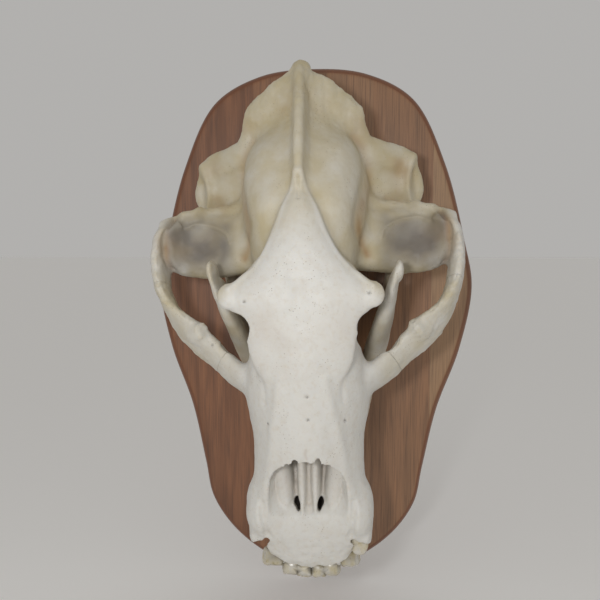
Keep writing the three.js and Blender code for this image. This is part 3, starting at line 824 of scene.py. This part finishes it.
for side in (-1, 1):
    for seam in SEAMS:
        carve(cranium, blade_object(side, seam))
centres = np.empty(len(cranium.data.polygons) * 3)
cranium.data.polygons.foreach_get("center", centres)
centres = centres.reshape(-1, 3)
zygomatics = {}
between = {}
for side, name in ((-1, "left"), (1, "right")):
    rear, front = (seam_frame(side, seam) for seam in SEAMS)
    ahead_of_rear = (centres - np.array(rear[0])) @ np.array(rear[1]) < 0
    behind_front = (centres - np.array(front[0])) @ np.array(front[1]) > 0
    between[side] = ahead_of_rear & behind_front & (side * centres[:, 0] > 56 * MM)
    zygomatics[name] = bpy.data.objects.new("zygomatic_bone_" + name, cranium.data.copy())
    bpy.context.scene.collection.objects.link(zygomatics[name])
    keep_faces(zygomatics[name], between[side])
keep_faces(cranium, ~(between[-1] | between[1]))
print("zygomatic faces:", [len(z.data.polygons) for z in zygomatics.values()])

# %% [markdown]
# ## Stains and painted shade
# The strengths of stain and painted shade come from where a point lies and how it curves. Ivory starts
# behind the temporal lines. Brown stain lies in grooves, and brown painted shade fills hollows. The thin
# roof of the jaw joint is grey. The blood-vessel holes and the slits in the nose get dark painted shade.
# Painting them by hand would need an image, and strengths on the points need none.

# %% Stain the bones and paint their shade
# across, along, radius
GREY_SPOTS = [(84, 131, 13), (95, 139, 9), (-101, 126, 9), (-88, 138, 9), (-65, 137, 10), (-93, 113, 6)]
WARM_SPOTS = [(-27, 214, 15), (33, 217, 15), (-12, 232, 12)]
# across, along, radius, strength
# The first two are painted shade beside the ridge behind the ear; the rest are brown stains.
BROWN_STAIN_AND_SHADE_SPOTS = [
    (80, 68, 9, 0.6), (79, 82, 6, 0.4), (74, 96, 10, 0.3), (106, 134, 13, 0.45), (48, 44, 12, 0.25),
    (12, 30, 9, 0.25), (84, 130, 22, 0.2),
]
CLOUD_SHIFT = 1.5


def ivory_stain(skin, clouds, hollow):
    """Ivory behind the temporal lines and along the arches, less on the braincase and its ridges."""
    across, along, height = skin.parts()
    aside = np.abs(across)
    mirrored = aside + CLOUD_SHIFT * clouds
    edge = np.interp(mirrored, [p[0] for p in TEMPORAL_LINE] + [60], [p[1] for p in TEMPORAL_LINE] + [190])
    ivory = np.maximum(ease(edge - along, -12, 8), ease(along, 165, 95)) * ease(mirrored, 124, 108)
    ridge_light = line_share(aside, along, TEMPORAL_LINE, 2.2)
    case = np.exp(-((aside - 28) / 20) ** 2 - ((along - 95) / 35) ** 2)
    ivory = np.clip(ivory * (0.85 - 0.3 * case + 0.25 * clouds) - 0.3 * ridge_light, 0, 1)
    arch_edge = ease(aside, 56, 70) * ease(-hollow, 0.03, 0.1) * ease(along, 130, 150)
    on_arch = ease(aside, 48, 66) * ease(along, 150, 175) * ease(height, 84, 70)
    ivory *= 1 - 0.7 * ease(along, 138, 158) * ease(aside, 92, 104)
    return np.clip(ivory + 0.3 * arch_edge + on_arch * (0.36 + 0.3 * clouds), 0, 1)


def brown_stain_and_shade(skin, clouds, hollow):
    """Brown stain in grooves, the nose and spots; brown painted shade in hollows and inside the arches."""
    across, along, height = skin.parts()
    aside = np.abs(across)
    groove = line_share(aside, along, CASE_GROOVE, 4) * ease(height, 20, 40)
    orange = line_share(aside, along, CASE_GROOVE[-4:], 3)
    seam = line_share(across, along, NASAL_SEAM, 0.9) * 0.28
    # Painted shade in brown along the inner wall of each arch.
    arch_wall_shade = 0.6 * line_share(aside, along, ARCH_INSIDE, 2.2)
    inside = ease(along, 284, 292) * ease(along, 345, 325) * ease(aside, 31, 24)
    inside *= ease(60 - (along - 284) * 0.5 - height, 3, 12)
    # Painted shade: brown deepens with how far a point lies in a hollow.
    deep = np.clip(hollow - 0.02, 0, 0.25)
    brown = 0.4 * groove + 0.3 * orange + seam + arch_wall_shade + 2.5 * deep + 0.12 * inside
    brown = np.clip(brown * (0.8 + 0.4 * clouds), 0, 0.9)
    for *spot, strength in BROWN_STAIN_AND_SHADE_SPOTS:
        near = spot_share(aside, along, *spot)
        brown = np.clip(brown + strength * near * ease(clouds, -0.5, 0.6), 0, 0.9)
    for spot in WARM_SPOTS:
        near = spot_share(across, along, *spot) * ease(height, 60, 75)
        brown = np.clip(brown + 0.16 * near * (0.7 + 0.6 * clouds), 0, 0.9)
    return brown


def grey_stain(skin, clouds):
    """Grey in patches on the thin roof of the jaw joint."""
    across, along, height = skin.parts()
    mirrored = np.abs(across) + CLOUD_SHIFT * clouds
    bent = [across + 3 * slow_noise(skin.points, 8, 18), along + 3 * slow_noise(skin.points, 8, 19)]
    thin = ease(mirrored, 54, 68) * ease(mirrored, 117, 111) * ease(bent[1], 104, 118)
    thin *= ease(along, 168, 150)
    grey = (0.55 + 0.1 * clouds + 0.07 * slow_noise(skin.points, 7, 8)) * thin
    for spot in GREY_SPOTS:
        near = np.exp(-(((bent[0] - spot[0]) ** 2 + (bent[1] - spot[1]) ** 2) / spot[2] ** 2) ** 1.5)
        grey = grey + 0.3 * near * thin
    grey = np.clip(grey, 0, 0.85) * ease(height, 22, 30) * ease(height, 62, 54)
    return grey * (1 - 0.25 * line_share(np.abs(across), along, SHELF_ARC, 2.0))


def painted_hole_shade(skin):
    """Painted shade: dark in the blood-vessel holes and in the slits of the nose."""
    across, along, height = skin.parts()
    dark = np.zeros(len(across))
    for hole in HOLES:
        dark = np.maximum(dark, spot_share(across, along, *hole, HOLE_RADIUS))
    dark *= 0.85 * ease(height, 35, 45)
    off_slit = ((np.abs(across) - SLIT_PLACE[0]) / SLIT_REACH[0]) ** 2
    off_slit += ((along - SLIT_PLACE[1]) / SLIT_REACH[1]) ** 2
    return np.maximum(dark, 0.9 * ease(off_slit, 1.2, 0.8) * ease(height, 18, 14))


def write_stains_and_shade(target, *strengths):
    """Keeps the ivory, brown, grey and dark strengths of stain and painted shade on the points of a bone."""
    attribute = target.data.attributes.new("stain_and_shade", "FLOAT_COLOR", "POINT")
    attribute.data.foreach_set("color", np.column_stack(strengths).astype(np.float32).ravel())


def stain_and_shade_bone(target):
    """Stains a bone of the upper skull and paints shade into its hollows, holes and slits."""
    skin = Skin(target)
    clouds = slow_noise(skin.points, 13, 7)
    hollow = skin.hollowness() / MM
    ivory = ivory_stain(skin, clouds, hollow)
    brown = brown_stain_and_shade(skin, clouds, hollow)
    write_stains_and_shade(target, ivory, brown, grey_stain(skin, clouds), painted_hole_shade(skin))


def settle(target, material, slot, *nodes):
    """Puts a finished bone or tooth in the photo's pose and ties it to the frame."""
    target.data.transform(SKULL_MATRIX)
    target.data.polygons.foreach_set("use_smooth", [True] * len(target.data.polygons))
    target.data.materials.clear()
    target.data.materials.append(material)
    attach(target, "root")
    if nodes:
        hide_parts(*nodes)


for bone, node in [(cranium, "cranium")] + [(zygomatics[s], "zygomatic_" + s) for s in zygomatics]:
    stain_and_shade_bone(bone)
    settle(bone, BONE, "bone", node)
print("stained", 1 + len(zygomatics), "bones")

# %% [markdown]
# ## The lower jaw
# Each half of the lower jaw is a deep bar with a tall thin blade at its rear, where the closing muscle
# pulled, and a roller that sits in the cranium's joint. The halves touch at the chin, and the rear corners
# rest on the board, so those faces are pressed flat.

# %% Lower jaw
# along, across, half width, top, bottom
JAW = [
    [104, 79, 6, -34, -54], [112, 78, 8, -20, -57], [122, 77, 8, -6, -60], [140, 76, 7.5, -2, -64],
    [158, 72.5, 6.5, 6, -65], [162, 71.5, 4.5, 20, -65], [164, 71, 3.8, 74, -65], [168, 70, 4.2, 81, -65],
    [176, 68, 5, 78, -65], [190, 64, 7.5, 60, -65], [206, 59, 9.5, 34, -64], [222, 54, 10, 6, -63],
    [232, 51, 9.5, -11, -62], [260, 43, 9, -14, -62], [300, 33, 9, -16, -63], [335, 25, 11, -18, -64],
    [362, 17, 17, -20, -58], [378, 11, 13, -21, -46], [387, 7, 9, -22, -36],
]
CONDYLE = [77, 117, 6, 19, 8, 8]
CONDYLE_NECK = [77, 119, -8, 9, 10, 14]
CORONOID_TIPS = {-1: [-70.5, 163, 68, 3.4, 8, 15], 1: [72.5, 166, 68, 3.4, 8, 15]}
REST_GAP = 0.3
JAW_VOXEL = 1.2
MUSCLE_HOLLOW = 2.6
MUSCLE_PLACE = (152, -14)
MUSCLE_REACH = (26, 24)


def form_jaw(side, sides=48, steps=240, power=2.4):
    """One half of the lower jaw from rows of along, across, half width, top, bottom."""
    at = np.linspace(JAW[0][0], JAW[-1][0], steps)
    middle, half, top, bottom = (column[:, None] for column in smooth_rows(JAW, at).T)
    turns = ring_turns(sides)
    height = (top + bottom) / 2 + squared(np.sin(turns), power) * (top - bottom) / 2
    return closed_skin(place(side * (middle + half * squared(np.cos(turns), power)), at[:, None], height))


def jaw_half(side, name):
    """A lower jaw half, melted, roughened, and pressed flat on the board and at the chin."""
    lumps = [egg(CONDYLE, side), egg(CONDYLE_NECK, side), egg(CORONOID_TIPS[side])]
    jaw = clay_object("mandible_bone_" + name, [form_jaw(side)] + lumps)
    melt(jaw, JAW_VOXEL)
    skin = Skin(jaw)
    skin.fill_valleys(rounds=20, share=0.5)
    skin.soften(6)
    normal = skin.normals()
    rough = 0.35 * slow_noise(skin.points, 7, 11 + side) + 0.5 * slow_noise(skin.points, 21, 13 + side)
    across, along, height = skin.parts()
    off_along = (along - MUSCLE_PLACE[0]) / MUSCLE_REACH[0]
    off_height = (height - MUSCLE_PLACE[1]) / MUSCLE_REACH[1]
    muscle = np.exp(-off_along ** 2 - off_height ** 2) * ease(side * normal[:, 0], 0.2, 0.7)
    skin.points += normal * (rough - MUSCLE_HOLLOW * muscle)[:, None] * MM
    skin.points[:, 0] = side * np.maximum(side * skin.points[:, 0], SEAM_GAP / 2 * MM)
    turn = np.array(SKULL_MATRIX)
    depth = skin.points @ turn[1, :3] + turn[1, 3]
    over = np.maximum(depth - (PLAQUE_FRONT - REST_GAP * MM), 0)
    skin.points -= over[:, None] * turn[1, :3]
    skin.store()
    across, along, height = skin.parts()
    edge = ease(-skin.hollowness() / MM, 0.02, 0.1)
    clouds = slow_noise(skin.points, 12, 17)
    ivory = np.clip(0.5 - 0.3 * ease(height, 25, 55) + 0.3 * clouds + 0.2 * edge, 0, 1)
    brown = np.clip(0.25 * ease(height, 20, -30) + 0.15 * clouds, 0, 0.6)
    none = np.zeros(len(across))
    write_stains_and_shade(jaw, ivory, brown, none, none)
    settle(jaw, BONE, "bone", "mandible_" + name)
    return jaw


jaws = [jaw_half(side, name) for side, name in ((-1, "left"), (1, "right"))]
print("jaw halves:", [len(j.data.vertices) for j in jaws])

# %% [markdown]
# ## The material of teeth
# Enamel is smoother than bone and yellower, so it keeps small highlights, and tartar settles on it in
# patches. Close to the gum and between the teeth it is darkest, from tartar and painted shade. A plain cream
# colour would look like plastic here, so noise gives the patches and a strength kept on the points gives
# the dark gaps of tartar and painted shade.

# %% Enamel
TARTAR_MM = 6
CRACK_MM = 2.2
ENAMEL_GRAIN_MM = 0.9


def enamel_material():
    """Worn enamel: smoother than bone, so it keeps small highlights, with tartar in patches."""
    material = bpy.data.materials.new("worn tooth enamel")
    material.use_nodes = True
    tree = material.node_tree
    where = add_node(tree, "TexCoord").outputs["Object"]
    clouds = add_node(tree, "TexNoise", {"Vector": where, "Scale": per_metre(TARTAR_MM), "Detail": 4.0})
    spots = add_node(tree, "TexNoise", {"Vector": where, "Scale": per_metre(CRACK_MM), "Detail": 2.0})
    grain = add_node(tree, "TexNoise", {"Vector": where, "Scale": per_metre(ENAMEL_GRAIN_MM)})
    yellow = add_node(tree, "MapRange", {0: clouds, 1: 0.35, 2: 0.65})
    tartar = add_node(tree, "MapRange", {0: clouds, 1: 0.6, 2: 0.74, 4: 0.7})
    cracks = add_node(tree, "MapRange", {0: spots, 1: 0.64, 2: 0.76, 4: 0.45})
    # Tartar and painted shade in the gaps at the gum and between the teeth.
    gap_tartar_and_shade = add_node(tree, "Attribute", attribute_name="tartar").outputs["Fac"]
    layers = [(yellow, "#BFB496"), (tartar, "#8A8058"), (cracks, "#5C4A33"), (gap_tartar_and_shade, "#3F372E")]
    roughness = add_node(tree, "MapRange", {0: clouds, 1: 0.3, 2: 0.7, 3: 0.22, 4: 0.45})
    shader = finish_material(tree, layers, "#C6C2B8", roughness, grain, 0.3, 0.3)
    shader.inputs["IOR"].default_value = 1.62
    return material


ENAMEL = enamel_material()
print("enamel material with", len(ENAMEL.node_tree.nodes), "nodes")

# %% [markdown]
# ## The shape of a tooth
# An old bear's tooth is worn to a peg with a neck, a belly and a rounded edge, and a canine is a bent cone.
# Both are lofts of rings, which keeps their shoulders soft where a cylinder would be hard. Noise bends each
# one, so that no two are alike. How near a point is to the bone or to the next tooth gives its tartar and
# its painted shade.

# %% Tooth shapes
TOOTH_LEVELS = [[0, 0.8], [0.25, 0.9], [0.5, 1], [0.88, 0.98], [0.96, 0.9], [1, 0.74]]
CANINE_FLATNESS = 0.8
CANINE_TAPER = 1.4
BITE_HEIGHT = -8
TARTAR_AND_SHADE_REACH = 0.9
TARTAR_AND_SHADE_SHARE = 0.65
GUM = BVHTree.FromObject(cranium, bpy.context.evaluated_depsgraph_get())


def tooth_form(across, along, root, crown, half_across, half_along, shifts=(0, 0), power=2.6, cusp=0):
    """A worn peg from its root to its crown, with four cusps where it chews."""
    share = np.linspace(0, 1, 18)
    girth = smooth_rows(TOOTH_LEVELS, share)
    turns = ring_turns(28)
    x = across + shifts[0] * share[:, None] + girth * half_across * squared(np.cos(turns), power)
    y = along + shifts[1] * share[:, None] + girth * half_along * squared(np.sin(turns), power)
    cusps = cusp * (share[:, None] ** 4) * np.cos(4 * turns + 0.6)
    return closed_skin(place(x, y, (root + (crown - root) * share)[:, None] + cusps))


def canine_form(row, side):
    """A bent, tapering canine; a broken one has a wide end."""
    across, along, root, tip, root_radius, tip_radius, bend, lean = row
    share = np.concatenate([np.linspace(0, 0.97, 24), [0.99, 1.0]])[:, None]
    radius = root_radius + (tip_radius - root_radius) * share ** CANINE_TAPER
    radius[-2:] *= np.array([[0.86], [0.6]])
    turns = ring_turns(32)
    x = side * (across + CANINE_FLATNESS * radius * np.cos(turns) + lean * share)
    y = along + radius * np.sin(turns) + bend * share ** 2
    return closed_skin(place(x, y, root + (tip - root) * share))


def teeth_object(name, forms, wear, seed):
    """Teeth as one object, each roughened by noise, with dark tartar and painted shade at the gum and
    between teeth.
    """
    made = clay_object(name, forms)
    skin = Skin(made)
    skin.points += skin.normals() * (wear * slow_noise(skin.points, 3.2, seed))[:, None] * MM
    skin.store()
    settle(made, ENAMEL, "bone")
    points = Skin(made).points
    apart = np.array([GUM.find_nearest(point)[3] for point in points])
    owner = np.repeat(np.arange(len(forms)), [len(form[0]) for form in forms])
    for number in range(len(forms) if len(forms) > 1 else 0):
        mine = points[owner == number]
        others = points[owner != number]
        between = np.linalg.norm(mine[:, None] - others[None], axis=2).min(1)
        apart[owner == number] = np.minimum(apart[owner == number], between)
    # Tartar and painted shade: darkest where a point is nearest the bone or the next tooth.
    tartar = TARTAR_AND_SHADE_SHARE * np.exp(-(apart / (TARTAR_AND_SHADE_REACH * MM)) ** 2)
    attribute = made.data.attributes.new("tartar", "FLOAT", "POINT")
    attribute.data.foreach_set("value", tartar.astype(np.float32))
    return made


print("tooth shapes ready")

# %% [markdown]
# ## Upper teeth
# Six blunt incisors stand in an arc at the front, a canine stands on each side behind them, and flat cheek
# teeth follow. An array along a curve would space the incisors evenly. A real row isn't even, so each has
# its own angle, width and wear.

# %% Upper teeth
INCISOR_ARC = {"centre": 370, "ahead": 22.5, "across": 34}
INCISOR_TURNS = [9, 27, 58]
INCISOR_WIDTHS = [6.0, 7.0, 8.2]
INCISOR_SPLAY = 3
INCISOR_ROOT = 7
INCISOR_CROWN = -11
# across, along, root, tip, root radius, tip radius, bend, lean
UPPER_CANINE = [40, 348, 10, -36, 10, 3.2, -6, 4]
# along, across, half length, half width
UPPER_CHEEK = [[292, 37, 8, 6], [273, 38, 11, 8], [244, 37, 18, 9]]
UPPER_ROOT = 10

worn = np.random.default_rng(5)
incisors = []
for turn, half in zip(INCISOR_TURNS, INCISOR_WIDTHS):
    angle = math.radians(turn)
    for side in (-1, 1):
        x = side * INCISOR_ARC["across"] * math.sin(angle)
        y = INCISOR_ARC["centre"] + INCISOR_ARC["ahead"] * math.cos(angle)
        splay = (side * INCISOR_SPLAY * math.sin(angle), INCISOR_SPLAY)
        crown = INCISOR_CROWN + worn.uniform(0, 3)
        wide = half * worn.uniform(0.9, 1.15)
        incisors.append(tooth_form(x, y, INCISOR_ROOT, crown, wide, half * 0.9, splay, 4.2))
teeth = [teeth_object("upper_incisors", incisors, 1.0, 21)]
for side, name in ((-1, "left"), (1, "right")):
    teeth.append(teeth_object("upper_canine_" + name, [canine_form(UPPER_CANINE, side)], 0.2, 22))
    cheek = [tooth_form(side * a, y, UPPER_ROOT, BITE_HEIGHT, w, l, cusp=1.2) for y, a, l, w in UPPER_CHEEK]
    teeth.append(teeth_object("upper_cheek_teeth_" + name, cheek, 0.5, 23))
print("upper teeth:", len(teeth), "pieces")

# %% [markdown]
# ## Lower teeth
# The lower canines rise in front of the upper ones. The right one shows beside the snout, and the left one
# is broken off short, so each has its own sizes instead of a mirrored copy. The cheek teeth end where the
# upper ones do, because the jaw is closed.

# %% Lower teeth
LOWER_CHEEK = [[298, 31, 6, 4], [282, 34, 10, 5.5], [258, 39, 13, 7], [233, 45, 10, 7]]
LOWER_ROOT = -28
LOWER_CANINES = {"left": [25, 366, -42, -13, 9, 6.5, 4, 6], "right": [27, 367, -42, 12, 9, 9.2, 4, 12]}

for side, name in ((-1, "left"), (1, "right")):
    teeth.append(teeth_object("lower_canine_" + name, [canine_form(LOWER_CANINES[name], side)], 0.6, 24))
    crown = BITE_HEIGHT - REST_GAP
    cheek = [tooth_form(side * a, y, LOWER_ROOT, crown, w, l, cusp=1.2) for y, a, l, w in LOWER_CHEEK]
    teeth.append(teeth_object("lower_cheek_teeth_" + name, cheek, 0.5, 25))
print("teeth in all:", len(teeth), "pieces")

# %% [markdown]
# ## The material of the plaque
# The board is glued up from upright walnut strips, planed and oiled. A picture of wood would be quick, but
# it repeats and it can't follow the rounded edge. So the grain is noise stretched along the strip, each
# strip is a little different in tone, and the faces of the rounded edge that turn away from the front are
# coloured darker and redder. The oil is a thin coat with a soft sheen.

# %% Walnut
STRIP_MM = 58
# Real walnut fibres are finer. They are drawn this wide, so that they show.
FIBRE_MM = 0.9
FIBRE_STRETCH = 40
BAND_MM = 9
BAND_STRETCH = 12


def walnut_material():
    """Planed and oiled walnut: a soft sheen, fine upright fibres and broad darker bands."""
    material = bpy.data.materials.new("oiled walnut")
    material.use_nodes = True
    tree = material.node_tree
    where = add_node(tree, "TexCoord").outputs["Object"]
    sideways = add_node(tree, "SeparateXYZ", {0: where}).outputs[0]
    strip = add_node(tree, "Math", {0: sideways, 1: STRIP_MM * MM}, operation="DIVIDE")
    number = add_node(tree, "Math", {0: strip}, operation="FLOOR")
    tone = add_node(tree, "TexWhiteNoise", {"W": number}, noise_dimensions="1D")
    moved = add_node(tree, "VectorMath", {0: where, 1: tone.outputs["Color"]}, operation="ADD")
    long = add_node(tree, "Mapping", {"Vector": moved, "Scale": (1, 1, 1 / FIBRE_STRETCH)})
    wide = add_node(tree, "Mapping", {"Vector": moved, "Scale": (1, 1, 1 / BAND_STRETCH)})
    fibres = add_node(tree, "TexNoise", {"Vector": long, "Scale": per_metre(FIBRE_MM), "Detail": 3.0})
    bands = add_node(tree, "TexNoise", {"Vector": wide, "Scale": per_metre(BAND_MM), "Detail": 3.0})
    facing = add_node(tree, "SeparateXYZ", {0: add_node(tree, "NewGeometry").outputs["Normal"]})
    dark_band = add_node(tree, "MapRange", {0: bands, 1: 0.3, 2: 0.7})
    paler_to_right = {0: number, 1: 0.22, 2: tone.outputs["Value"]}
    sapwood = add_node(tree, "Math", paler_to_right, operation="MULTIPLY_ADD")
    pale_strip = add_node(tree, "MapRange", {0: sapwood, 1: -0.3, 2: 1.3, 4: 0.85})
    dark_fibre = add_node(tree, "MapRange", {0: fibres, 1: 0.45, 2: 0.7, 4: 0.45})
    flatness = add_node(tree, "Math", {0: facing.outputs[1]}, operation="ABSOLUTE")
    edge = add_node(tree, "MapRange", {0: flatness, 1: 0.9995, 2: 0.95, 4: 0.85})
    layers = [(dark_band, "#6E4428"), (pale_strip, "#A88663"), (dark_fibre, "#452D20"), (edge, "#703E1C")]
    roughness = add_node(tree, "MapRange", {0: fibres, 1: 0.3, 2: 0.7, 3: 0.36, 4: 0.52})
    shader = finish_material(tree, layers, "#956341", roughness, fibres, 0.25, 0.25)
    shader.inputs["IOR"].default_value = 1.5
    shader.inputs["Coat Weight"].default_value = 0.5
    shader.inputs["Coat Roughness"].default_value = 0.4
    return material


WALNUT = walnut_material()
print("walnut material with", len(WALNUT.node_tree.nodes), "nodes")

# %% [markdown]
# ## The shape of the plaque
# The board was sawn to a pear shape and its front edge was rounded over. A Bezier curve with a bevel would
# do, but here the outline is a smooth closed curve through a few half widths, and its rings are drawn at
# rising levels, so the rounding has one even radius.

# %% Plaque
# height, half width
PLAQUE_OUTLINE = [
    [253, 0], [247, 52], [222, 97], [161, 128], [87, 148], [42, 156], [-20, 145],
    [-80, 124], [-140, 111], [-178, 103], [-212, 80], [-240, 42], [-253, 0],
]
ROUND_OVER = 7.0
RIM_POINTS = 360


def closed_curve(points, count):
    """A smooth closed curve through points, spaced by the square root of their distance."""
    points = np.asarray(points, float)
    n = len(points)
    made = []
    for share in np.linspace(0, n, count, endpoint=False):
        i = int(share)
        t = share - i
        p = points[[(i - 1) % n, i % n, (i + 1) % n, (i + 2) % n]]
        gap_tartar_and_shade = np.maximum(np.linalg.norm(np.diff(p, axis=0), axis=1) ** 0.5, 1e-6)
        first = (p[1] - p[0]) / gap_tartar_and_shade[0] - (p[2] - p[0]) / (gap_tartar_and_shade[0] + gap_tartar_and_shade[1]) + (p[2] - p[1]) / gap_tartar_and_shade[1]
        second = (p[2] - p[1]) / gap_tartar_and_shade[1] - (p[3] - p[1]) / (gap_tartar_and_shade[1] + gap_tartar_and_shade[2]) + (p[3] - p[2]) / gap_tartar_and_shade[2]
        first, second = first * gap_tartar_and_shade[1], second * gap_tartar_and_shade[1]
        cubic = 2 * p[1] - 2 * p[2] + first + second
        square = -3 * p[1] + 3 * p[2] - 2 * first - second
        made.append(cubic * t ** 3 + square * t ** 2 + first * t + p[1])
    return np.array(made)


right = [(half, z) for z, half in PLAQUE_OUTLINE]
left = [(-half, z) for half, z in right[1:-1]][::-1]
outline = closed_curve(right + left, RIM_POINTS)
reach = np.linalg.norm(outline, axis=1, keepdims=True)
thickness = -PLAQUE_FRONT / MM
levels = [(0, 1.0), (0.5, 0.3), (1.5, 0), (thickness - ROUND_OVER, 0)]
for turn in np.linspace(0.15, np.pi / 2, 9):
    levels.append((thickness - ROUND_OVER * (1 - math.sin(turn)), ROUND_OVER * (1 - math.cos(turn))))
levels += [(thickness, inset) for inset in (9, 14, 30, 60)]
rings = []
for rise, inset in levels:
    flat = outline * (1 - inset / reach)
    rings.append(np.column_stack([flat[:, 0], np.full(RIM_POINTS, -rise), flat[:, 1]]) * MM)
board = clay_object("walnut_board", [closed_skin(np.array(rings))])
board.data.polygons.foreach_set("use_smooth", [True] * len(board.data.polygons))
board.data.materials.append(WALNUT)
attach(board, "root")
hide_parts("plaque")
print("board", [round(v, 3) for v in board.dimensions])
